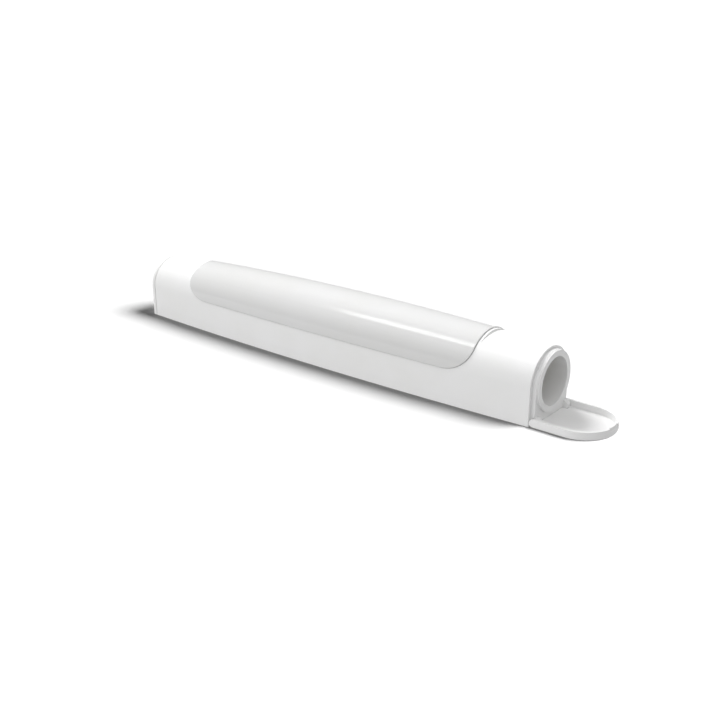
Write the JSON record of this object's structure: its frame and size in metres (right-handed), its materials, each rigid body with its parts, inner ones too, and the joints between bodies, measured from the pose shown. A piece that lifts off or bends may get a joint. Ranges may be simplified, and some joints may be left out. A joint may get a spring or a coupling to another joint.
{
  "type": "fire blanket",
  "caption": "Wall-mounted fire blanket in a long white D-section tube container with a glossy front cover and a hinged end flap; the rolled blanket is pulled out by its tapes.",
  "frame": {"origin": "middle of the container's flat back, at half the housing shell's length, in the plane of the surface it lies on or hangs against", "axes": "+X along the tube towards the mouth and its flap, +Z out of the flat back towards the ridge of the arch, +Y across to the side without the blanket's pull tapes"},
  "size_m": [0.6866, 0.0968, 0.0874],
  "materials": {
    "white_plastic": "satin",
    "glossy_white_plastic": "gloss",
    "zinc_steel": "satin",
    "glass_cloth": "matte",
    "black_tape": "matte",
    "grey_foam": "matte"
  },
  "bodies": {
    "container": {"housing_shell": "white_plastic", "back_plate": "white_plastic", "back_screw_1": "zinc_steel", "back_screw_2": "zinc_steel", "back_screw_3": "zinc_steel", "back_screw_4": "zinc_steel", "back_screw_5": "zinc_steel", "back_screw_6": "zinc_steel", "end_cap": "white_plastic", "cap_screw_near": "zinc_steel", "cap_screw_far": "zinc_steel", "bezel": "white_plastic", "collar": "white_plastic", "inner_tube": "white_plastic", "tube_saddle_front": "white_plastic", "tube_saddle_rear": "white_plastic", "hinge_pin_near": "zinc_steel", "hinge_pin_far": "zinc_steel", "rear_bumper": "grey_foam"},
    "end_flap": {"flap": "white_plastic"},
    "blanket": {"blanket_roll": "glass_cloth", "pull_tab_upper": "black_tape", "pull_tab_lower": "black_tape"},
    "cover": {"front_cover": "glossy_white_plastic"}
  },
  "joints": [
    {"name": "flap_hinge", "type": "hinge", "parent": "container", "child": "end_flap", "pos_m": [0.305, 0, 0.0048], "axis": [0, 1, 0], "range_deg": [-90, 0]},
    {"name": "blanket_pull", "type": "slide", "parent": "container", "child": "blanket", "axis": [1, 0, 0], "range_m": [0, 0.6], "deforming": ["blanket_roll", "pull_tab_upper", "pull_tab_lower"]},
    {"name": "cover_lift", "type": "slide", "parent": "container", "child": "cover", "axis": [0, 0, 1], "range_m": [0, 0.06]}
  ]
}
